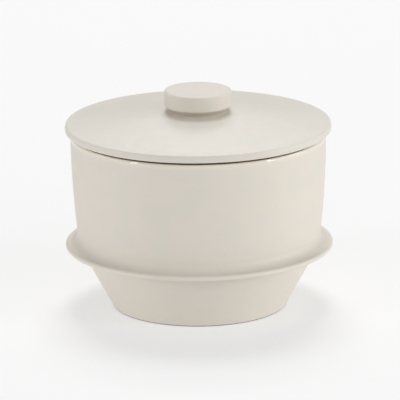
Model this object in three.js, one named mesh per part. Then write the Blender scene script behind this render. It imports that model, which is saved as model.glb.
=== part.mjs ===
// A small lidded stoneware pot: a round pot with a flange at its waist and a conical foot, a loose lid
// with a locating ring underneath, and a disc knob that was formed apart and luted to the lid.
// Millimetres, +Z up. The origin lies on the axis, in the plane that the foot stands on.
import * as THREE from "three";

// Driving dimensions.
const SEGMENTS = 52; // facets round the axis
const TOUCH_GAP = 0.3; // room left between two pieces that rest on each other
const ARC_TRIM = 3; // degrees left off an arc where it runs into the next one

const foot = {
  radius: 35.3, // where the cone would meet the standing plane
  halfAngle: 28.4, // degrees between the cone and the axis
  edgeRound: 0.8,
  ringWidth: 3.4,
  recessDepth: 1.8,
  recessRound: 1.2,
  recessChamfer: 0.3,
};
const flange = { radius: 54.4, height: 25.4, lipRound: 1.1, underFillet: 0.6, coveRadius: 3.8 };
const wall = {
  radius: 51.8,
  bulgeRadius: 385,
  bulgeHeight: 73,
  thickness: 4.2,
  rimHeight: 71.8,
  rimRound: 1.1,
  blend: 1, // length of wall left for a blend next to the rim and the cove
};
const inside = { floorHeight: 6.2, floorFillet: 8, coneThickness: 4.3, shoulderRadius: 14 };
const lid = {
  radius: 54,
  widestHeight: 73.85,
  lowerRound: 1.15,
  upperRound: 4,
  arrisRise: 1.75,
  arrisRound: 0.5,
  arrisLift: 0.12,
  slope: 7, // mean slope of the top, degrees
  domeRadius: 800,
  thickness: 4.1,
  padRadius: 11.8,
};
const seat = { outerRadius: 49.4, proud: 0.6 };
const ring = { outerRadius: 46.2, thickness: 3.2, depth: 4.6, taper: 0.2, fillet: 0.9, rootFillet: 1.8 };
const knob = { radius: 13.6, topHeight: 89.4, bottomHeight: 82.9, edgeRound: 0.8, underRound: 0.6, footRadius: 11.6 };

// Pale oatmeal glaze, satin all over.
const glaze = { pot: 0xd9d2c6, lid: 0xdad3c7, knob: 0xd8d1c5 };
const SATIN = { roughness: 0.42, metalness: 0 };

const radians = THREE.MathUtils.degToRad;
const point = (radius, height) => new THREE.Vector2(radius, height);

// Points on a round stretch of a profile, from one angle to another in degrees, with 0 pointing away from the axis.
function arc(radius, height, round, from, to, steps) {
  return Array.from({ length: steps + 1 }, (_, i) => {
    const angle = radians(from + ((to - from) * i) / steps);
    return point(radius + round * Math.cos(angle), height + round * Math.sin(angle));
  });
}

// Outer radius of the wall at a height. The wall is a long arc that is widest at its bulge height.
function wallRadius(height) {
  const rise = height - wall.bulgeHeight;
  return wall.radius - wall.bulgeRadius + Math.sqrt(wall.bulgeRadius ** 2 - rise ** 2);
}

// Points down or up the wall, inset from its outer face.
function wallPoints(from, to, inset, steps) {
  return Array.from({ length: steps + 1 }, (_, i) => {
    const height = from + ((to - from) * i) / steps;
    return point(wallRadius(height) - inset, height);
  });
}

// Under the foot: the recessed floor, then the flat ring that the pot stands on.
function footUnderside() {
  const inner = foot.radius - foot.edgeRound - foot.ringWidth;
  const { recessDepth: depth, recessRound: round } = foot;
  return [
    point(0, depth),
    ...arc(inner - round, depth - round, round, 90, 0, 2),
    point(inner, foot.recessChamfer),
    point(inner + foot.recessChamfer, 0),
  ];
}

// The conical foot, from its rounded bottom edge to the fillet under the flange.
function footCone() {
  const lean = radians(foot.halfAngle);
  const onCone = (height) => foot.radius + height * Math.tan(lean);
  const edge = foot.edgeRound;
  const edgeCentre = onCone(edge * (1 - Math.sin(lean))) - edge * Math.cos(lean);
  const fillet = flange.underFillet;
  const filletHeight = flange.height - flange.lipRound - fillet;
  const filletCentre = onCone(filletHeight + fillet * Math.sin(lean)) + fillet * Math.cos(lean);
  return [
    ...arc(edgeCentre, edge, edge, -90, -foot.halfAngle, 3),
    ...arc(filletCentre, filletHeight, fillet, 180 - foot.halfAngle, 90, 2),
  ];
}

// The flange: a full round lip, and the cove that sweeps up from it into the wall.
function flangeLip() {
  const { lipRound, coveRadius, height } = flange;
  const coveCentre = height + lipRound + coveRadius;
  const lean = THREE.MathUtils.radToDeg(Math.asin((wall.bulgeHeight - coveCentre) / wall.bulgeRadius));
  const centreRadius = wallRadius(coveCentre) + coveRadius * Math.cos(radians(lean));
  return [
    ...arc(flange.radius - lipRound, height, lipRound, -90, 90, 7),
    ...arc(centreRadius, coveCentre, coveRadius, 270, 180 - lean, 5),
  ];
}

// The wall above the flange, over the rim and down inside to the shoulder where the inside starts to narrow.
function wallAndRim(shoulderHeight) {
  const { rimHeight, rimRound: round, thickness, blend } = wall;
  const low = flange.height + flange.lipRound + flange.coveRadius;
  const outer = wallRadius(rimHeight - round);
  return [
    ...wallPoints(low + 2 * blend, rimHeight - round - blend, 0, 4),
    ...arc(outer - round, rimHeight - round, round, 0, 90, 3),
    ...arc(outer - thickness + round, rimHeight - round, round, 90, 180, 3),
    ...wallPoints(rimHeight - round - blend, shoulderHeight, thickness, 4),
  ];
}

// The inside below the shoulder: parallel to the foot's cone, then rounded into the flat floor.
function insideFloor() {
  const lean = radians(foot.halfAngle);
  const { floorHeight, floorFillet: fillet, coneThickness } = inside;
  const onCone = (height) => foot.radius - coneThickness / Math.cos(lean) + height * Math.tan(lean);
  const centreHeight = floorHeight + fillet;
  const centreRadius = onCone(centreHeight - fillet * Math.sin(lean)) - fillet * Math.cos(lean);
  return [...arc(centreRadius, centreHeight, fillet, -foot.halfAngle, -90, 4), point(0, floorHeight)];
}

// Where the straight inner cone meets the inner wall, found by halving.
function shoulderHeight() {
  const lean = radians(foot.halfAngle);
  let low = inside.floorHeight;
  let high = wall.rimHeight;
  while (high - low > 1e-6) {
    const middle = (low + high) / 2;
    const cone = foot.radius - inside.coneThickness / Math.cos(lean) + middle * Math.tan(lean);
    if (cone < wallRadius(middle) - wall.thickness) low = middle;
    else high = middle;
  }
  return low;
}

// The soft bend between the inner wall and the inner cone.
function insideShoulder(height) {
  const lean = foot.halfAngle;
  const wallLean = THREE.MathUtils.radToDeg(Math.asin((wall.bulgeHeight - height) / wall.bulgeRadius));
  const round = inside.shoulderRadius;
  const middle = (lean + wallLean) / 2;
  const reach = round / Math.cos(radians((lean - wallLean) / 2));
  const corner = point(wallRadius(height) - wall.thickness, height);
  const centre = point(corner.x - reach * Math.cos(radians(middle)), corner.y + reach * Math.sin(radians(middle)));
  return arc(centre.x, centre.y, round, -wallLean, -lean, 2);
}

function potProfile() {
  const corner = shoulderHeight();
  return [
    ...footUnderside(),
    ...footCone(),
    ...flangeLip(),
    ...wallAndRim(corner + inside.shoulderRadius / 3),
    ...insideShoulder(corner),
    ...insideFloor(),
  ];
}

// Height of the lid's top at a radius: a shallow dome that rises from the arris to the knob.
function lidTop(radius) {
  const arris = lid.radius - lid.arrisRound;
  const half = (arris - lid.padRadius) / 2;
  const fromMiddle = radius - (lid.padRadius + half);
  const sag = (half ** 2 - fromMiddle ** 2) / (2 * lid.domeRadius);
  return lid.widestHeight + lid.arrisRise + (arris - radius) * Math.tan(radians(lid.slope)) + sag;
}

// The lid's underside inside the ring, from the axis outwards, and the ring itself.
function lidUnderside() {
  const bottom = lid.widestHeight - lid.lowerRound;
  const inner = ring.outerRadius - ring.thickness;
  const under = (radius) => lidTop(radius) - lid.thickness;
  const { fillet, rootFillet, taper } = ring;
  const tip = ring.thickness / 2 - taper;
  return [
    point(0, under(lid.padRadius)),
    point(lid.padRadius, under(lid.padRadius)),
    point((lid.padRadius + inner) / 2, under((lid.padRadius + inner) / 2)),
    ...arc(inner - rootFillet, under(inner) - rootFillet, rootFillet, 90 - lid.slope, 0, 3),
    ...arc(inner + taper + tip, bottom - ring.depth + tip, tip, 180, 360, 5),
    ...arc(ring.outerRadius + fillet, bottom - seat.proud - fillet, fillet, 180, 90, 2),
  ];
}

// The lid's edge: the flat seat, a step up to the open joint, the rolled lower edge and the crisp upper arris.
function lidEdge() {
  const bottom = lid.widestHeight - lid.lowerRound;
  const lean = THREE.MathUtils.radToDeg(Math.asin(lid.arrisRise / lid.upperRound));
  const top = arc(lid.radius - lid.upperRound, lid.widestHeight, lid.upperRound, 0, lean - ARC_TRIM, 2);
  const shoulder = top[top.length - 1];
  const round = lid.arrisRound;
  const centre = point(
    shoulder.x - round * Math.cos(radians(lean)),
    shoulder.y - round * Math.sin(radians(lean)) + lid.arrisLift,
  );
  return [
    point(seat.outerRadius, bottom - seat.proud),
    point(seat.outerRadius + seat.proud, bottom),
    ...arc(lid.radius - lid.lowerRound, lid.widestHeight, lid.lowerRound, -90, -ARC_TRIM, 4),
    ...top,
    ...arc(centre.x, centre.y, round, lean + ARC_TRIM, 90 - lid.slope, 3),
  ];
}

function lidProfile() {
  const steps = 4;
  const outer = lid.radius - lid.upperRound;
  const top = Array.from({ length: steps + 1 }, (_, i) => {
    const radius = outer + ((lid.padRadius - outer) * i) / steps;
    return point(radius, lidTop(radius));
  });
  return [...lidUnderside(), ...lidEdge(), ...top, point(0, lidTop(lid.padRadius))];
}

// The knob: a thick disc with rounded edges, undercut below down to a smaller foot on the lid.
function knobProfile() {
  const base = lidTop(lid.padRadius) + TOUCH_GAP;
  const { radius, topHeight, bottomHeight, edgeRound, underRound, footRadius } = knob;
  const lean = THREE.MathUtils.radToDeg(Math.atan2(radius - underRound - footRadius, bottomHeight - base));
  return [
    point(0, base),
    point(footRadius, base),
    ...arc(radius - underRound, bottomHeight + underRound, underRound, lean - 90, 0, 3),
    ...arc(radius - edgeRound, topHeight - edgeRound, edgeRound, 0, 90, 3),
    point(0, topHeight),
  ];
}

// A named mesh: a profile turned once round the Z axis.
function turned(name, profile, colour) {
  const geometry = new THREE.LatheGeometry(profile, SEGMENTS);
  geometry.rotateX(Math.PI / 2);
  const mesh = new THREE.Mesh(geometry, new THREE.MeshStandardMaterial({ color: colour, ...SATIN }));
  mesh.name = name;
  return mesh;
}

const lidAssembly = new THREE.Group();
lidAssembly.add(turned("lid_plate", lidProfile(), glaze.lid), turned("lid_knob", knobProfile(), glaze.knob));

const pot = new THREE.Group();
pot.add(turned("pot_body", potProfile(), glaze.pot), lidAssembly);

export default pot;
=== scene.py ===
"""The looks of a small lidded stoneware pot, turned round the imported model's sizes.

The pot, its lid plate and its knob are each one outline turned round the vertical axis by a Geometry
Nodes lathe. Outlines are in millimetres, meshes in metres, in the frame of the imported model.
"""

import logging
import math
from dataclasses import dataclass, field
from enum import Enum

import bpy
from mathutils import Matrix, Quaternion, Vector

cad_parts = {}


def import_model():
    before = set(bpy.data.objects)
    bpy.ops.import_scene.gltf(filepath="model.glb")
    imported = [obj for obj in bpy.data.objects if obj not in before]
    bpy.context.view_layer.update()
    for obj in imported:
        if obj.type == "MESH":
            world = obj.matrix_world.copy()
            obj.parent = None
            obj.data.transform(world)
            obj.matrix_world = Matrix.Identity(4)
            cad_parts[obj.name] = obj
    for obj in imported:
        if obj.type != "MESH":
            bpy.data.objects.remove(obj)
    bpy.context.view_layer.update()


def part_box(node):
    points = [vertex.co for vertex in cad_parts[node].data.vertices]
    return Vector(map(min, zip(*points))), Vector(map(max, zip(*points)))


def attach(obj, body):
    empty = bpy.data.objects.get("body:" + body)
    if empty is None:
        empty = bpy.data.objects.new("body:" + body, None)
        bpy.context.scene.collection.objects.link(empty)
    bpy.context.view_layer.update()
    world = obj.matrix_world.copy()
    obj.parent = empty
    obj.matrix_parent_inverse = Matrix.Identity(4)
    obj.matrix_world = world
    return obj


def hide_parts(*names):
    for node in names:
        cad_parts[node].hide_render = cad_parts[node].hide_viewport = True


MM = 0.001
LOG = logging.getLogger("pot")
NOISE = {"noise_dimensions": "4D"}
RAMP = {"interpolation_type": "SMOOTHSTEP"}
COLOURS = {"data_type": "RGBA"}


class Reach(Enum):
    """What a light falls on."""

    ALL = "all"
    PIECES = "pieces"
    FLOOR = "floor"
    SHEEN = "sheen"


class Body(Enum):
    """The rigid bodies that the pieces ride on."""

    POT = "pot"
    LID = "lid"


class Pattern(Enum):
    """Keeps the noises of one finish apart. Each shifts the finish's seed by its own amount."""

    CLOUDS = 0.0
    RAGGED = 3.0
    SAND = 5.0
    SATIN = 7.0
    PEEL = 9.0
    WAVES = 11.0


def linear(colour: str) -> tuple[float, float, float, float]:
    """Turns an sRGB hex colour to linear.

    Args:
        colour: six hex digits after a #.

    Returns:
        Linear red, green, blue and an alpha of 1.
    """
    parts = [int(colour[i : i + 2], 16) / 255 for i in (1, 3, 5)]
    red, green, blue = (p / 12.92 if p <= 0.04045 else ((p + 0.055) / 1.055) ** 2.4 for p in parts)
    return (red, green, blue, 1.0)


def add_node(
    tree: bpy.types.NodeTree, kind: str, settings: dict | None = None, **inputs: object
) -> bpy.types.Node:
    """Adds a node to a tree, with its settings and links.

    Args:
        tree: the node tree.
        kind: the node's type name.
        settings: properties set on the node itself.
        **inputs: for each input, a value, a socket or a node, whose first output is taken. It goes by
            its name with underscores for spaces, or by its place as _0, _1 and so on.

    Returns:
        The new node.
    """
    node = tree.nodes.new(kind)
    for key, value in (settings or {}).items():
        setattr(node, key, value)
    for key, value in inputs.items():
        socket = node.inputs[int(key[1:]) if key[0] == "_" else key.replace("_", " ")]
        if isinstance(value, bpy.types.Node):
            value = value.outputs[0]
        if isinstance(value, bpy.types.NodeSocket):
            tree.links.new(value, socket)
        else:
            socket.default_value = value
    return node


@dataclass
class Outline:
    """Half of a section, from the axis round the solid and back to the axis, in millimetres.

    Each point also says how deep the glaze lies there (1 where it pools in a hollow, -1 where it
    runs thin over an edge) and whether the clay is bare. The pooling under the knob's disc, the bare
    clay in the joint under the lid and the bare clay along the foot's edge are partly painted shade.
    """

    longest: float = 2.0  # mm between points
    turn_step: float = 5.0  # degrees
    glaze_blur: float = 0.9  # mm
    bare_blur: float = 0.12  # mm
    points: list[tuple[float, float]] = field(default_factory=list)
    pooling: list[float] = field(default_factory=list)
    bare: list[float] = field(default_factory=list)

    def add(self, radius: float, height: float, pooling: float = 0.0, bare: float = 0.0) -> None:
        """Adds one point."""
        self.points.append((radius, height))
        self.pooling.append(pooling)
        self.bare.append(bare)

    def to(self, radius: float, height: float, pooling: float = 0.0, bare: float = 0.0) -> None:
        """Goes straight to a point, in steps no longer than the longest."""
        r, z = self.points[-1]
        steps = max(1, math.ceil(math.hypot(radius - r, height - z) / self.longest))
        for i in range(1, steps + 1):
            self.add(r + (radius - r) * i / steps, z + (height - z) * i / steps, pooling, bare)

    def arc(
        self,
        radius: float,
        height: float,
        round_: float,
        start: float,
        end: float,
        pooling: float = 0.0,
        bare: float = 0.0,
    ) -> None:
        """Goes round an arc.

        Args:
            radius: how far its centre is from the axis.
            height: its centre's height.
            round_: its own radius.
            start: the angle it starts at, in degrees, with 0 pointing away from the axis.
            end: the angle it ends at.
            pooling: the depth of glaze on it.
            bare: 1 where the clay is bare.
        """
        steps = max(2, math.ceil(abs(end - start) / self.turn_step))
        steps = max(steps, math.ceil(math.radians(abs(end - start)) * round_ / self.longest))
        for i in range(steps + 1):
            angle = math.radians(start + (end - start) * i / steps)
            self.add(radius + round_ * math.cos(angle), height + round_ * math.sin(angle), pooling, bare)

    def softened(self, values: list[float], reach: float) -> list[float]:
        """Blurs a value along the outline.

        Args:
            values: one value for each point.
            reach: how far the blur reaches along the outline, in millimetres.

        Returns:
            The blurred values.
        """
        place = [0.0]
        for (r0, z0), (r1, z1) in zip(self.points, self.points[1:]):
            place.append(place[-1] + math.hypot(r1 - r0, z1 - z0))
        after = place[1:] + place[-1:]
        before = place[:1] + place[:-1]
        span = [(far - near) / 2 + 1e-6 for far, near in zip(after, before)]
        blurred = []
        for here in place:
            weights = [math.exp(-(((there - here) / reach) ** 2)) * s for there, s in zip(place, span)]
            blurred.append(sum(w * v for w, v in zip(weights, values)) / sum(weights))
        return blurred

    def mesh(self, name: str) -> bpy.types.Mesh:
        """Makes the outline a chain of edges in the XZ plane, in metres, with its glaze values."""
        mesh = bpy.data.meshes.new(name)
        spots = [(r * MM, 0.0, z * MM) for r, z in self.points]
        edges = [(i, i + 1) for i in range(len(spots) - 1)]
        mesh.from_pydata(spots, edges, [])
        pooling = mesh.attributes.new("pooling", "FLOAT", "POINT")
        pooling.data.foreach_set("value", self.softened(self.pooling, self.glaze_blur))
        bare = mesh.attributes.new("bare", "FLOAT", "POINT")
        bare.data.foreach_set("value", self.softened(self.bare, self.bare_blur))
        return mesh


@dataclass
class Lathe:
    """A Geometry Nodes tree that turns an outline round the Z axis into a closed mesh."""

    segments: int = 256
    merge_distance: float = 1e-6  # m
    waver_length: float = 35.0  # mm

    def inputs(self, tree: bpy.types.NodeTree) -> bpy.types.NodeOutputs:
        """Gives the tree its named inputs and its output."""
        for name, kind in (
            ("Outline", "NodeSocketGeometry"),
            ("Segments", "NodeSocketInt"),
            ("Waver", "NodeSocketFloat"),
            ("Waver Length", "NodeSocketFloat"),
            ("Waver Seed", "NodeSocketFloat"),
            ("Finish", "NodeSocketMaterial"),
        ):
            tree.interface.new_socket(name, in_out="INPUT", socket_type=kind)
        tree.interface.new_socket("Solid", in_out="OUTPUT", socket_type="NodeSocketGeometry")
        return add_node(tree, "NodeGroupInput").outputs

    def turned(self, tree: bpy.types.NodeTree, given: bpy.types.NodeOutputs) -> bpy.types.NodeSocket:
        """Wraps a grid round the axis, with one row for each point of the outline.

        Args:
            tree: the node tree.
            given: the tree's inputs.

        Returns:
            The turned mesh, which carries the outline's glaze values.
        """
        outline = given["Outline"]
        count = add_node(tree, "GeometryNodeAttributeDomainSize", _0=outline).outputs["Point Count"]
        columns = add_node(tree, "FunctionNodeIntegerMath", {"operation": "ADD"}, _0=given["Segments"], _1=1)
        grid = add_node(tree, "GeometryNodeMeshGrid", Vertices_X=columns, Vertices_Y=count)
        index = add_node(tree, "GeometryNodeInputIndex")
        row = add_node(tree, "FunctionNodeIntegerMath", {"operation": "MODULO"}, _0=index, _1=count)
        column = add_node(tree, "FunctionNodeIntegerMath", {"operation": "DIVIDE_FLOOR"}, _0=index, _1=count)
        share = add_node(tree, "ShaderNodeMath", {"operation": "DIVIDE"}, _0=column, _1=given["Segments"])
        angle = add_node(tree, "ShaderNodeMath", {"operation": "MULTIPLY"}, _0=share, _1=math.tau)
        in_row = {"Geometry": outline, "Index": row}
        position = add_node(tree, "GeometryNodeInputPosition")
        settings = {"data_type": "FLOAT_VECTOR", "domain": "POINT"}
        place = add_node(tree, "GeometryNodeSampleIndex", settings, Value=position, **in_row)
        settings = {"rotation_type": "Z_AXIS"}
        round_axis = add_node(tree, "ShaderNodeVectorRotate", settings, Vector=place, Angle=angle)
        solid = add_node(tree, "GeometryNodeSetPosition", Geometry=grid, Position=round_axis)
        settings = {"data_type": "FLOAT", "domain": "POINT"}
        for key in ("pooling", "bare"):
            named = add_node(tree, "GeometryNodeInputNamedAttribute", {"data_type": "FLOAT"}, Name=key)
            value = add_node(tree, "GeometryNodeSampleIndex", settings, Value=named, **in_row)
            sockets = {"Geometry": solid, "Name": key, "Value": value}
            solid = add_node(tree, "GeometryNodeStoreNamedAttribute", settings, **sockets)
        sockets = {"Geometry": solid, "Distance": self.merge_distance}
        return add_node(tree, "GeometryNodeMergeByDistance", **sockets).outputs[0]

    def wavered(
        self, tree: bpy.types.NodeTree, given: bpy.types.NodeOutputs, solid: bpy.types.NodeSocket
    ) -> bpy.types.NodeSocket:
        """Lets the surface wander in and out a little, as a hand-thrown wall does.

        Args:
            tree: the node tree.
            given: the tree's inputs.
            solid: the turned mesh.

        Returns:
            The mesh with its surface moved along its normals.
        """
        scale = add_node(tree, "ShaderNodeMath", {"operation": "DIVIDE"}, _0=1.0, _1=given["Waver Length"])
        sockets = {"W": given["Waver Seed"], "Scale": scale, "Detail": 1.0}
        noise = add_node(tree, "ShaderNodeTexNoise", NOISE, **sockets)
        centred = add_node(tree, "ShaderNodeMath", {"operation": "SUBTRACT"}, _0=noise, _1=0.5)
        depth = add_node(tree, "ShaderNodeMath", {"operation": "MULTIPLY"}, _0=centred, _1=given["Waver"])
        normal = add_node(tree, "GeometryNodeInputNormal")
        offset = add_node(tree, "ShaderNodeVectorMath", {"operation": "SCALE"}, _0=normal, Scale=depth)
        return add_node(tree, "GeometryNodeSetPosition", Geometry=solid, Offset=offset).outputs[0]

    def tree(self) -> bpy.types.NodeTree:
        """Builds the node tree once, with named inputs for its sizes."""
        found = bpy.data.node_groups.get("lathe")
        if found:
            return found
        tree = bpy.data.node_groups.new("lathe", "GeometryNodeTree")
        given = self.inputs(tree)
        solid = self.wavered(tree, given, self.turned(tree, given))
        smooth = add_node(tree, "GeometryNodeSetShadeSmooth", Geometry=solid)
        real = add_node(tree, "GeometryNodeRealizeInstances", Geometry=smooth)
        dressed = add_node(tree, "GeometryNodeSetMaterial", Geometry=real, Material=given["Finish"])
        add_node(tree, "NodeGroupOutput", Solid=dressed)
        return tree

    def turn(
        self, name: str, outline: Outline, finish: bpy.types.Material, waver: float, seed: float
    ) -> bpy.types.Object:
        """Turns an outline into a finished piece.

        Args:
            name: the piece's name.
            outline: its half section.
            finish: its material.
            waver: how far its surface wanders, in millimetres.
            seed: picks the pattern that the surface wanders in.

        Returns:
            The piece, a plain mesh with no modifier.
        """
        draft = bpy.data.objects.new(name + "_draft", outline.mesh(name + "_outline"))
        bpy.context.scene.collection.objects.link(draft)
        turning = draft.modifiers.new("lathe", "NODES")
        turning.node_group = self.tree()
        values = {
            "Segments": self.segments,
            "Waver": 2 * waver * MM,
            "Waver Length": self.waver_length * MM,
            "Waver Seed": seed,
            "Finish": finish,
        }
        for item in turning.node_group.interface.items_tree:
            if item.in_out == "INPUT" and item.name in values:
                turning[item.identifier] = values[item.name]
        evaluated = draft.evaluated_get(bpy.context.evaluated_depsgraph_get())
        mesh = bpy.data.meshes.new_from_object(evaluated)
        mesh.name = name
        piece = bpy.data.objects.new(name, mesh)
        bpy.context.scene.collection.objects.link(piece)
        bpy.data.objects.remove(draft)
        return piece


@dataclass(frozen=True)
class BareClayAndShade:
    """Fired stoneware clay with no glaze: matt, dark brown, with a fine sandy grain.

    It shows on the foot ring, on the rim and on the lid's seat. Its brown is darker than the clay's own,
    as painted shade: it makes the open joint under the lid and the foot's edge on the floor read as
    dark lines.
    """

    # Darkened to paint shade: the dark line of the open joint under the lid and the contact line at the
    # foot.
    colour: str = "#6f5e4c"
    roughness: float = 0.85
    grain: float = 0.35  # mm
    ragged: float = 0.25  # how far the glaze's edge wanders, as a share of its blur
    ragged_size: float = 1.2  # mm

    def shows(self, tree: bpy.types.NodeTree, where: bpy.types.NodeSocket, seed: float) -> bpy.types.Node:
        """Finds where the clay is bare, beyond a slightly ragged edge of the glaze.

        Args:
            tree: the material's node tree.
            where: the place on the piece.
            seed: picks the ragged edge.

        Returns:
            A node that gives 1 on bare clay and 0 on glaze.
        """
        sockets = {"Scale": 1 / (self.ragged_size * MM), "Detail": 1.0, "W": seed + Pattern.RAGGED.value}
        noise = add_node(tree, "ShaderNodeTexNoise", NOISE, Vector=where, **sockets)
        sockets = {"From_Min": 0.2, "From_Max": 0.8, "To_Min": -self.ragged, "To_Max": self.ragged}
        wander = add_node(tree, "ShaderNodeMapRange", RAMP, Value=noise, **sockets)
        bare = add_node(tree, "ShaderNodeAttribute", {"attribute_name": "bare"}).outputs["Fac"]
        edge = add_node(tree, "ShaderNodeMath", {"operation": "ADD"}, _0=bare, _1=wander)
        return add_node(tree, "ShaderNodeMapRange", RAMP, Value=edge, From_Min=0.4, From_Max=0.6)

    def tone(self, tree: bpy.types.NodeTree, where: bpy.types.NodeSocket, seed: float) -> bpy.types.Node:
        """Makes the clay's colour, lighter and darker from grain to grain.

        Args:
            tree: the material's node tree.
            where: the place on the piece.
            seed: picks the grain.

        Returns:
            A node that gives the colour.
        """
        sockets = {"Scale": 1 / (self.grain * MM), "Detail": 1.0, "W": seed + Pattern.SAND.value}
        noise = add_node(tree, "ShaderNodeTexNoise", NOISE, Vector=where, **sockets)
        sockets = {"From_Min": 0.3, "From_Max": 0.7, "To_Min": 0.82, "To_Max": 1.08}
        sand = add_node(tree, "ShaderNodeMapRange", RAMP, Value=noise, **sockets)
        brown = linear(self.colour)[:3]
        return add_node(tree, "ShaderNodeVectorMath", {"operation": "SCALE"}, _0=brown, Scale=sand)


@dataclass(frozen=True)
class SatinGlaze:
    """A satin oatmeal glaze on stoneware, dipped and fired.

    It gives the eye a soft gloss, faint clouds of warm and cool tone, fine iron specks, a deeper colour
    where it pools, which under the knob's disc is painted shade as well, and a paler, glossier line where
    it runs thin over the rim's edge.
    """

    name: str
    warm: str
    cool: str
    pooled_and_shade: str
    thin: str
    speck: str = "#8f7c68"
    clay: BareClayAndShade = BareClayAndShade()
    roughness: float = 0.52
    roughness_swing: float = 0.08
    edge_roughness: float = 0.08
    satin_size: float = 2.5  # mm across the patches of more and less gloss
    ior: float = 1.52
    cloud: float = 9.0  # mm across
    speck_spacing: float = 2.6  # mm
    speck_size: float = 0.34  # mm; real specks are half as wide, too fine to show
    speck_strength: float = 0.55
    peel: float = 1.1  # mm between the ripples of the glaze's skin
    peel_depth: float = 0.010  # mm
    wave_size: float = 7.0  # the skin's slow waves, times the size of its ripples
    wave_depth: float = 6.0  # times their depth
    seed: float = 0.0

    def specks(self, tree: bpy.types.NodeTree, where: bpy.types.NodeSocket) -> bpy.types.Node:
        """Scatters small iron specks, most of them too faint to see.

        Args:
            tree: the material's node tree.
            where: the place on the piece.

        Returns:
            A node that gives how strongly a speck shows.
        """
        scale = 1 / (self.speck_spacing * MM)
        cells = add_node(tree, "ShaderNodeTexVoronoi", Vector=where, Scale=scale)
        chance = add_node(tree, "ShaderNodeSeparateColor", _0=cells.outputs["Color"])
        reach = self.speck_size / 2 / self.speck_spacing
        sockets = {"From_Min": reach * 0.4, "From_Max": reach * 1.2, "To_Min": 1.0, "To_Max": 0.0}
        speck = add_node(tree, "ShaderNodeMapRange", RAMP, Value=cells.outputs["Distance"], **sockets)
        sockets = {"From_Min": 0.55, "From_Max": 0.95, "To_Max": self.speck_strength}
        strength = add_node(tree, "ShaderNodeMapRange", RAMP, Value=chance, **sockets)
        return add_node(tree, "ShaderNodeMath", {"operation": "MULTIPLY"}, _0=speck, _1=strength)

    def tone(
        self,
        tree: bpy.types.NodeTree,
        where: bpy.types.NodeSocket,
        pooling: bpy.types.NodeSocket,
        thinness: bpy.types.Node,
    ) -> bpy.types.NodeSocket:
        """Makes the glaze's colour.

        Args:
            tree: the material's node tree.
            where: the place on the piece.
            pooling: how deep the glaze lies.
            thinness: 1 where it runs thin over an edge.

        Returns:
            The colour.
        """
        sockets = {"Scale": 1 / (self.cloud * MM), "Detail": 2.0, "W": self.seed + Pattern.CLOUDS.value}
        noise = add_node(tree, "ShaderNodeTexNoise", NOISE, Vector=where, **sockets)
        clouds = add_node(tree, "ShaderNodeMapRange", RAMP, Value=noise, From_Min=0.3, From_Max=0.7)
        # Pooling darkens the glaze towards its pooled colour; on the knob's undercut this darkening is
        # painted shade.
        deep = add_node(tree, "ShaderNodeMapRange", RAMP, Value=pooling, From_Min=0.1, From_Max=1.0)
        specks = self.specks(tree, where)
        layers = ((clouds, self.cool), (deep, self.pooled_and_shade), (thinness, self.thin), (specks, self.speck))
        colour = linear(self.warm)
        for share, shade in layers:
            mix = add_node(tree, "ShaderNodeMix", COLOURS, _0=share, _6=colour, _7=linear(shade))
            colour = mix.outputs[2]
        return colour

    def gloss(
        self, tree: bpy.types.NodeTree, where: bpy.types.NodeSocket, thinness: bpy.types.Node
    ) -> bpy.types.Node:
        """Makes the glaze's roughness, a satin that turns glossy where it runs thin.

        Args:
            tree: the material's node tree.
            where: the place on the piece.
            thinness: 1 where it runs thin over an edge.

        Returns:
            A node that gives the roughness.
        """
        sockets = {"Scale": 1 / (self.satin_size * MM), "Detail": 2.0, "W": self.seed + Pattern.SATIN.value}
        noise = add_node(tree, "ShaderNodeTexNoise", NOISE, Vector=where, **sockets)
        swing = self.roughness_swing / 2
        sockets = {"To_Min": self.roughness - swing, "To_Max": self.roughness + swing}
        satin = add_node(
            tree, "ShaderNodeMapRange", RAMP, Value=noise, From_Min=0.25, From_Max=0.75, **sockets
        )
        return add_node(tree, "ShaderNodeMix", _0=thinness, _2=satin, _3=self.edge_roughness)

    def skin(self, tree: bpy.types.NodeTree, where: bpy.types.NodeSocket) -> bpy.types.Node:
        """Makes the faint ripples and slow waves of the glaze's surface.

        Args:
            tree: the material's node tree.
            where: the place on the piece.

        Returns:
            A node that gives the bumped normal.
        """
        sockets = {"Scale": 1 / (self.peel * MM), "Detail": 1.5, "W": self.seed + Pattern.PEEL.value}
        peel = add_node(tree, "ShaderNodeTexNoise", NOISE, Vector=where, **sockets)
        depth = self.peel_depth * MM
        ripples = add_node(tree, "ShaderNodeBump", Strength=1.0, Distance=depth, Height=peel)
        size = self.peel * self.wave_size
        sockets = {"Scale": 1 / (size * MM), "Detail": 1.0, "W": self.seed + Pattern.WAVES.value}
        waves = add_node(tree, "ShaderNodeTexNoise", NOISE, Vector=where, **sockets)
        depth = self.peel_depth * self.wave_depth * MM
        return add_node(tree, "ShaderNodeBump", Strength=1.0, Distance=depth, Height=waves, Normal=ripples)

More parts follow.
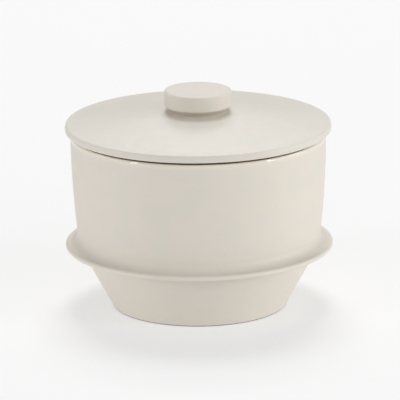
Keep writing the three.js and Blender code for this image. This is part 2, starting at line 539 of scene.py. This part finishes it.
    def material(self) -> bpy.types.Material:
        """Builds the finish, which reads object coordinates and the outline's glaze values."""
        made = bpy.data.materials.new(self.name)
        made.use_nodes = True
        tree = made.node_tree
        tree.nodes.clear()
        where = add_node(tree, "ShaderNodeTexCoord").outputs["Object"]
        pooling = add_node(tree, "ShaderNodeAttribute", {"attribute_name": "pooling"}).outputs["Fac"]
        thinness = add_node(tree, "ShaderNodeMapRange", RAMP, Value=pooling, From_Min=-0.1, From_Max=-0.45)
        bare = self.clay.shows(tree, where, self.seed)
        glaze = self.tone(tree, where, pooling, thinness)
        clay = self.clay.tone(tree, where, self.seed)
        colour = add_node(tree, "ShaderNodeMix", COLOURS, _0=bare, _6=glaze, _7=clay).outputs[2]
        satin = self.gloss(tree, where, thinness)
        rough = add_node(tree, "ShaderNodeMix", _0=bare, _2=satin, _3=self.clay.roughness)
        sockets = {"Roughness": rough, "Normal": self.skin(tree, where), "IOR": self.ior}
        shader = add_node(tree, "ShaderNodeBsdfPrincipled", Base_Color=colour, **sockets)
        add_node(tree, "ShaderNodeOutputMaterial", Surface=shader)
        return made


class Glaze:
    """The finish of each piece. It is one glaze, with its pattern laid differently on each."""

    POT = SatinGlaze(
        "oatmeal_glaze_pot", warm="#dad2c7", cool="#d7d2c7", pooled_and_shade="#cdc4b6", thin="#e2dacd", seed=1.0
    )
    LID = SatinGlaze(
        "oatmeal_glaze_lid", warm="#d9d3c8", cool="#d6d2c8", pooled_and_shade="#cdc4b6", thin="#e2dacd", seed=2.0
    )
    # The knob's pooled colour is darker than the pot's and the lid's: glaze pooling under its disc, and
    # painted shade there too.
    KNOB = SatinGlaze(
        "oatmeal_glaze_knob", warm="#dad2c8", cool="#d7d2c8", pooled_and_shade="#beb5a6", thin="#e4dcd0", seed=3.0
    )


@dataclass
class Pot:
    """The pot: a conical foot, a flange at the waist and a tall, slightly swelling wall. Millimetres."""

    flange_radius: float
    rim_height: float
    foot_radius: float = 35.3
    foot_lean: float = 28.4  # degrees
    foot_edge: float = 0.8
    # How far up the cone the bare clay reaches past the foot's edge: painted shade for the contact line
    # along the floor.
    bare_and_contact_shade_margin: float = 0.12
    ring_width: float = 3.4
    recess_depth: float = 1.8
    recess_round: float = 1.2
    ring_chamfer: float = 0.3
    flange_height: float = 25.4
    lip_round: float = 1.1
    under_fillet: float = 0.6
    cove_radius: float = 3.8
    wall_radius: float = 51.8
    bulge_radius: float = 385.0
    bulge_height: float = 73.0
    thickness: float = 4.2
    rim_round: float = 1.1
    bare_and_joint_shade_from: float = 55.0  # degrees round the rim's outer edge; the bare clay above this paints the shade in the open joint under the lid
    bare_to: float = 110.0  # degrees round its inner edge
    floor_height: float = 6.2
    floor_fillet: float = 8.0
    cone_thickness: float = 4.3
    shoulder_radius: float = 14.0
    waver: float = 0.05

    def wall(self, height: float) -> float:
        """The wall's outer radius at a height."""
        rise = height - self.bulge_height
        return self.wall_radius - self.bulge_radius + math.sqrt(self.bulge_radius**2 - rise**2)

    def cone(self, height: float, depth: float = 0.0) -> float:
        """The foot cone's radius at a height, or of a cone inside it by a depth."""
        lean = math.radians(self.foot_lean)
        return self.foot_radius - depth / math.cos(lean) + height * math.tan(lean)

    def underside(self, line: Outline) -> None:
        """The recess under the floor and the bare ring that the pot stands on."""
        inner = self.foot_radius - self.foot_edge - self.ring_width
        corner = self.recess_round
        line.add(0, self.recess_depth)
        line.to(inner - corner, self.recess_depth)
        line.arc(inner - corner, self.recess_depth - corner, corner, 90, 0, pooling=0.8)
        line.to(inner, self.ring_chamfer, bare=1)
        line.to(inner + self.ring_chamfer, 0, bare=1)

    def foot(self, line: Outline) -> None:
        """The rounded edge of the foot, its cone, and the fillet under the flange. The bare clay runs over
        the whole edge and a little onto the cone as painted shade, a dark contact line along the floor.
        """
        lean = math.radians(self.foot_lean)
        edge = self.foot_edge
        fillet = self.under_fillet
        centre = self.cone(edge * (1 - math.sin(lean))) - edge * math.cos(lean)
        line.to(centre, 0, bare=1)
        # Bare clay over the whole rounded edge: painted shade, the dark contact line where the foot meets
        # the floor.
        line.arc(centre, edge, edge, -90, -self.foot_lean, bare=1)
        contact_shade_top = line.points[-1][1] + self.bare_and_contact_shade_margin
        line.add(self.cone(contact_shade_top), contact_shade_top)
        height = self.flange_height - self.lip_round - fillet
        radius = self.cone(height + fillet * math.sin(lean)) + fillet * math.cos(lean)
        line.to(radius - fillet * math.cos(lean), height + fillet * math.sin(lean))
        line.arc(radius, height, fillet, 180 - self.foot_lean, 90, pooling=0.9)

    def flange(self, line: Outline) -> None:
        """The round lip, and the cove that sweeps up into the wall."""
        lip = self.flange_radius - self.lip_round
        cove = self.flange_height + self.lip_round + self.cove_radius
        line.to(lip, self.flange_height - self.lip_round)
        line.arc(lip, self.flange_height, self.lip_round, -90, 90, pooling=-0.2)
        reach = self.bulge_radius + self.cove_radius
        lean = math.asin((self.bulge_height - cove) / reach)
        centre = self.wall_radius - self.bulge_radius + reach * math.cos(lean)
        line.arc(centre, cove, self.cove_radius, 270, 180 - math.degrees(lean), pooling=0.25)

    def along_wall(self, line: Outline, end: float, inset: float = 0.0) -> None:
        """Goes up or down the curved wall from where the outline is."""
        start = line.points[-1][1]
        steps = math.ceil(abs(end - start) / line.longest)
        for i in range(1, steps + 1):
            height = start + (end - start) * i / steps
            line.add(self.wall(height) - inset, height)

    def rim(self, line: Outline) -> None:
        """The rounded rim, with a bare band where the lid sits. The band reaches down the outer rounding as
        painted shade: the dark line of the open joint under the lid's edge.
        """
        edge = self.rim_round
        top = self.rim_height - edge
        self.along_wall(line, top)
        outer = self.wall(top) - edge
        inner = self.wall(top) - self.thickness + edge
        line.arc(outer, top, edge, 0, self.bare_and_joint_shade_from, pooling=-1)
        # Bare clay on the top of the outer rounding: the real unglazed seat, and painted shade of the open
        # joint.
        line.arc(outer, top, edge, self.bare_and_joint_shade_from, 90, pooling=-0.3, bare=1)
        line.to(inner, self.rim_height, bare=1)
        line.arc(inner, top, edge, 90, self.bare_to, bare=1)
        line.arc(inner, top, edge, self.bare_to, 180, pooling=-1)

    def shoulder(self) -> tuple[float, float, float]:
        """Finds the round that touches the inner wall and the inner cone.

        Returns:
            How far its centre is from the axis, its centre's height and the angle it starts at.
        """
        axis = self.wall_radius - self.bulge_radius - self.thickness
        low = self.floor_height
        high = self.rim_height
        for _ in range(40):
            height = (low + high) / 2
            reach = self.cone(height, self.cone_thickness + self.shoulder_radius) - axis
            if math.hypot(reach, height - self.bulge_height) < self.bulge_radius - self.shoulder_radius:
                low = height
            else:
                high = height
        return reach + axis, height, math.degrees(math.atan2(height - self.bulge_height, reach))

    def inside(self, line: Outline) -> None:
        """Down the inner wall, round the shoulder, down the cone and round into the floor."""
        radius, height, start = self.shoulder()
        wall_end = height + self.shoulder_radius * math.sin(math.radians(start))
        self.along_wall(line, wall_end, self.thickness)
        line.arc(radius, height, self.shoulder_radius, start, -self.foot_lean, pooling=0.2)
        lean = math.radians(self.foot_lean)
        fillet = self.floor_fillet
        low = self.floor_height + fillet
        cone_end = low - fillet * math.sin(lean)
        corner = self.cone(cone_end, self.cone_thickness)
        line.to(corner, cone_end)
        line.arc(corner - fillet * math.cos(lean), low, fillet, -self.foot_lean, -90, pooling=0.5)
        line.to(0, self.floor_height, pooling=0.2)

    def build(self, lathe: Lathe) -> bpy.types.Object:
        """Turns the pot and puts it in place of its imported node.

        Args:
            lathe: turns the outline.

        Returns:
            The pot.
        """
        line = Outline()
        for stretch in (self.underside, self.foot, self.flange, self.rim, self.inside):
            stretch(line)
        piece = lathe.turn("glazed_pot", line, Glaze.POT.material(), self.waver, seed=4.0)
        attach(piece, Body.POT.value)
        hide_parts("pot_body")
        return piece


@dataclass
class Lid:
    """The lid plate: a shallow dome with a rolled edge, a seat band and a locating ring. Millimetres."""

    radius: float
    ring_bottom: float
    widest_height: float = 73.85
    lower_round: float = 1.15
    upper_round: float = 4.0
    arris_rise: float = 1.75
    arris_round: float = 0.5
    arris_lift: float = 0.125
    slope: float = 7.0  # degrees
    dome_radius: float = 800.0
    thickness: float = 4.1
    pad_radius: float = 11.8
    seat_proud: float = 0.6
    seat_outer: float = 49.4
    ring_outer: float = 46.2
    ring_thickness: float = 3.2
    ring_taper: float = 0.2
    ring_fillet: float = 0.9
    root_fillet: float = 1.8
    waver: float = 0.06

    def top(self, radius: float) -> float:
        """The height of the lid's upper face at a radius."""
        arris = self.radius - self.arris_round
        half = (arris - self.pad_radius) / 2
        sag = (half**2 - (radius - self.pad_radius - half) ** 2) / (2 * self.dome_radius)
        climb = (arris - radius) * math.tan(math.radians(self.slope))
        return self.widest_height + self.arris_rise + climb + sag

    def along_dome(self, line: Outline, end: float, drop: float = 0.0) -> None:
        """Goes along the dome, or a face below it by a drop, to a radius."""
        start = line.points[-1][0]
        steps = math.ceil(abs(end - start) / line.longest)
        for i in range(1, steps + 1):
            radius = start + (end - start) * i / steps
            line.add(radius, self.top(radius) - drop)

    def underside(self, line: Outline) -> None:
        """The hollow underside, the locating ring and the bare seat band."""
        bottom = self.widest_height - self.lower_round
        fillet = self.ring_fillet
        root = self.root_fillet
        inner = self.ring_outer - self.ring_thickness
        tip = self.ring_thickness / 2 - self.ring_taper
        line.add(0, self.top(self.pad_radius) - self.thickness)
        line.to(self.pad_radius, self.top(self.pad_radius) - self.thickness)
        self.along_dome(line, inner - root, self.thickness)
        ceiling = self.top(inner) - self.thickness
        line.arc(inner - root, ceiling - root, root, 90 - self.slope, 0, pooling=0.8)
        line.to(inner + self.ring_taper, self.ring_bottom + tip)
        line.arc(inner + self.ring_taper + tip, self.ring_bottom + tip, tip, 180, 360, pooling=-0.5)
        seat = bottom - self.seat_proud
        line.to(self.ring_outer, seat - fillet)
        line.arc(self.ring_outer + fillet, seat - fillet, fillet, 180, 90, bare=1)
        line.to(self.seat_outer, seat, bare=1)
        line.to(self.seat_outer + self.seat_proud, bottom, bare=1)

    def edge(self, line: Outline) -> None:
        """The rolled lower edge, the nearly upright band and the crisp upper arris."""
        line.to(self.radius - self.lower_round, self.widest_height - self.lower_round)
        line.arc(self.radius - self.lower_round, self.widest_height, self.lower_round, -90, -2)
        lean = math.degrees(math.asin(self.arris_rise / self.upper_round))
        line.arc(self.radius - self.upper_round, self.widest_height, self.upper_round, 0, lean - 3)
        radius, height = line.points[-1]
        edge = self.arris_round
        radius -= edge * math.cos(math.radians(lean))
        height -= edge * math.sin(math.radians(lean)) - self.arris_lift
        line.arc(radius, height, edge, lean + 5, 90 - self.slope)

    def build(self, lathe: Lathe) -> bpy.types.Object:
        """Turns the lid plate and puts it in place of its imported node.

        Args:
            lathe: turns the outline.

        Returns:
            The lid plate.
        """
        line = Outline(longest=1.5)
        self.underside(line)
        self.edge(line)
        self.along_dome(line, self.pad_radius)
        line.to(0, self.top(self.pad_radius))
        piece = lathe.turn("glazed_lid", line, Glaze.LID.material(), self.waver, seed=8.0)
        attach(piece, Body.LID.value)
        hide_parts("lid_plate")
        return piece


@dataclass
class Knob:
    """The knob: a thick disc, undercut below down to a smaller foot luted to the lid. Millimetres."""

    radius: float
    top: float
    bottom: float = 82.9
    edge: float = 0.8
    under: float = 0.6
    foot: float = 11.6
    fillet: float = 0.3
    sunk: float = 0.4
    waver: float = 0.04

    def build(self, lathe: Lathe, lid: Lid) -> bpy.types.Object:
        """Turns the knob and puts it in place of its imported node.

        Args:
            lathe: turns the outline.
            lid: the lid that the knob stands on.

        Returns:
            The knob.
        """
        base = lid.top(self.foot)
        lean = math.degrees(math.atan2(self.radius - self.under - self.foot, self.bottom - base))
        line = Outline(longest=0.8)
        line.add(0, base - self.sunk)
        # Pooling 1 on the foot and undercut darkens them to the knob's pooled colour: glaze pooling, and
        # painted shade under the disc.
        line.to(self.foot + self.fillet, base - self.sunk, pooling=1)
        line.to(self.foot + self.fillet, base, pooling=1)
        line.to(self.foot + self.fillet / 2, base + self.fillet, pooling=1)
        under = self.radius - self.under
        height = self.bottom + self.under
        start = math.radians(lean - 90)
        line.to(under + self.under * math.cos(start), height + self.under * math.sin(start), pooling=1)
        line.arc(under, height, self.under, lean - 90, 0)
        line.to(self.radius, self.top - self.edge)
        line.arc(self.radius - self.edge, self.top - self.edge, self.edge, 0, 90)
        line.to(0, self.top)
        piece = lathe.turn("glazed_knob", line, Glaze.KNOB.material(), self.waver, seed=12.0)
        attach(piece, Body.LID.value)
        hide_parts("lid_knob")
        return piece


def direction(azimuth: float, elevation: float) -> Vector:
    """Finds the way from the object to a place round it.

    Args:
        azimuth: 0 in front of the object, towards -Y, and 90 to its right.
        elevation: 0 level with it and 90 above it.

    Returns:
        A vector of length 1.
    """
    turn = math.radians(azimuth)
    rise = math.radians(elevation)
    return Vector((math.sin(turn) * math.cos(rise), -math.cos(turn) * math.cos(rise), math.sin(rise)))


@dataclass(frozen=True)
class SoftBox:
    """A studio softbox: a rectangular light that faces the object. Metres, degrees and watts."""

    name: str
    azimuth: float
    elevation: float
    power: float
    width: float = 0.6
    height: float = 0.9
    distance: float = 3.2
    reach: Reach = Reach.ALL

    def place(self, aim: Vector, floor: bpy.types.Object) -> bpy.types.Object:
        """Adds the light.

        Args:
            aim: the point it faces.
            floor: the only thing that a light with the reach FLOOR falls on, and the only thing that one
                with the reach PIECES misses. One with the reach SHEEN shows in gloss alone.

        Returns:
            The light.
        """
        data = bpy.data.lights.new(self.name, "AREA")
        data.shape = "RECTANGLE"
        data.size = self.width
        data.size_y = self.height
        data.energy = self.power
        light = bpy.data.objects.new(self.name, data)
        bpy.context.scene.collection.objects.link(light)
        out = direction(self.azimuth, self.elevation)
        light.location = aim + out * self.distance
        light.visible_camera = False
        light.visible_diffuse = self.reach is not Reach.SHEEN
        if self.reach in (Reach.FLOOR, Reach.PIECES):
            lit = bpy.data.collections.new(self.name)
            lit.objects.link(floor)
            light.light_linking.receiver_collection = lit
            state = "INCLUDE" if self.reach is Reach.FLOOR else "EXCLUDE"
            lit.collection_objects[0].light_linking.link_state = state
        light.rotation_mode = "QUATERNION"
        light.rotation_quaternion = out.to_track_quat("Z", "Y")
        return light


@dataclass
class Studio:
    """A plain pale floor, soft lights, and a long lens a little above the pot. Metres and degrees."""

    aim: tuple[float, float, float] = (0.00044, 0.0, 0.04308)
    distance: float = 2.0
    elevation: float = 15.47
    roll: float = 0.597
    lens: float = 442.6  # mm
    sensor: float = 36.0  # mm
    floor_size: float = 12.0
    floor_colour: str = "#bcbcbc"
    floor_glow: float = 0.456
    ambient: float = 0.4
    boxes: tuple[SoftBox, ...] = (
        SoftBox("wall_left", -90, 10, 13.8, width=2.0, height=0.9, reach=Reach.PIECES),
        SoftBox("wall_right", 90, 10, 25.6, width=2.0, height=0.9, reach=Reach.PIECES),
        SoftBox("softbox_left", -59, 16, 16, width=0.3, height=0.9),
        SoftBox("softbox_right", 67, 16, 18, width=0.3, height=0.9),
        SoftBox("fill_right", 40, 30, 8.5, width=1.8, height=1.4),
        SoftBox("softbox_front", 0, 33, 6.2, width=1.6, height=1.4),
        SoftBox("key_high", 180, 68, 33.2, width=1.2, height=0.9),
        SoftBox("floor_key", 180, 50, 14.2, width=1.2, height=0.7, reach=Reach.FLOOR),
        SoftBox("sheen", 180, 38, 29, width=1.6, height=1.1, reach=Reach.SHEEN),
    )

    def camera(self) -> bpy.types.Object:
        """Adds the camera."""
        data = bpy.data.cameras.new("camera")
        data.lens = self.lens
        data.sensor_width = self.sensor
        data.clip_start = 0.01
        data.clip_end = 50.0
        camera = bpy.data.objects.new("camera", data)
        bpy.context.scene.collection.objects.link(camera)
        out = direction(0, self.elevation)
        camera.location = Vector(self.aim) + out * self.distance
        camera.rotation_mode = "QUATERNION"
        upright = (-out).to_track_quat("-Z", "Y")
        camera.rotation_quaternion = upright @ Quaternion((0, 0, 1), -math.radians(self.roll))
        bpy.context.scene.camera = camera
        return camera

    def floor(self) -> bpy.types.Object:
        """Adds the floor, a table of matt white acrylic lit from below, which keeps shadows faint."""
        half = self.floor_size / 2
        corner_points = [(-half, -half, 0), (half, -half, 0), (half, half, 0), (-half, half, 0)]
        mesh = bpy.data.meshes.new("floor")
        mesh.from_pydata(corner_points, [], [(0, 1, 2, 3)])
        floor = bpy.data.objects.new("floor", mesh)
        bpy.context.scene.collection.objects.link(floor)
        acrylic = bpy.data.materials.new("backlit_acrylic")
        acrylic.use_nodes = True
        tree = acrylic.node_tree
        tree.nodes.clear()
        matt = add_node(
            tree,
            "ShaderNodeBsdfPrincipled",
            Base_Color=linear(self.floor_colour),
            Roughness=1.0,
            Specular_IOR_Level=0.0,
            Emission_Color=(1.0, 1.0, 1.0, 1.0),
            Emission_Strength=self.floor_glow,
        )
        add_node(tree, "ShaderNodeOutputMaterial", Surface=matt)
        mesh.materials.append(acrylic)
        return floor

    def light(self, floor: bpy.types.Object) -> None:
        """Adds an even white surround and the softboxes."""
        world = bpy.data.worlds.new("surround")
        world.use_nodes = True
        background = world.node_tree.nodes["Background"].inputs
        background["Strength"].default_value = self.ambient
        background["Color"].default_value = (1, 1, 1, 1)
        bpy.context.scene.world = world
        for box in self.boxes:
            box.place(Vector(self.aim), floor)

    def build(self) -> None:
        """Sets up the camera, the floor and the lights, and shows colours as they are."""
        self.camera()
        self.light(self.floor())
        bpy.context.scene.view_settings.view_transform = "Standard"


def main() -> None:
    """Builds the studio and the three pieces."""
    logging.basicConfig(level=logging.INFO, format="%(name)s: %(message)s")
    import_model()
    Studio().build()
    pot_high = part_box("pot_body")[1]
    knob_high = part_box("lid_knob")[1]
    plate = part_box("lid_plate")
    lathe = Lathe()
    lid = Lid(radius=plate[1].x / MM, ring_bottom=plate[0].z / MM)
    made = [
        Pot(flange_radius=pot_high.x / MM, rim_height=pot_high.z / MM).build(lathe),
        lid.build(lathe),
        Knob(radius=knob_high.x / MM, top=knob_high.z / MM).build(lathe, lid),
    ]
    for piece in made:
        LOG.info("%s has %d faces", piece.name, len(piece.data.polygons))


if __name__ == "__main__":
    main()
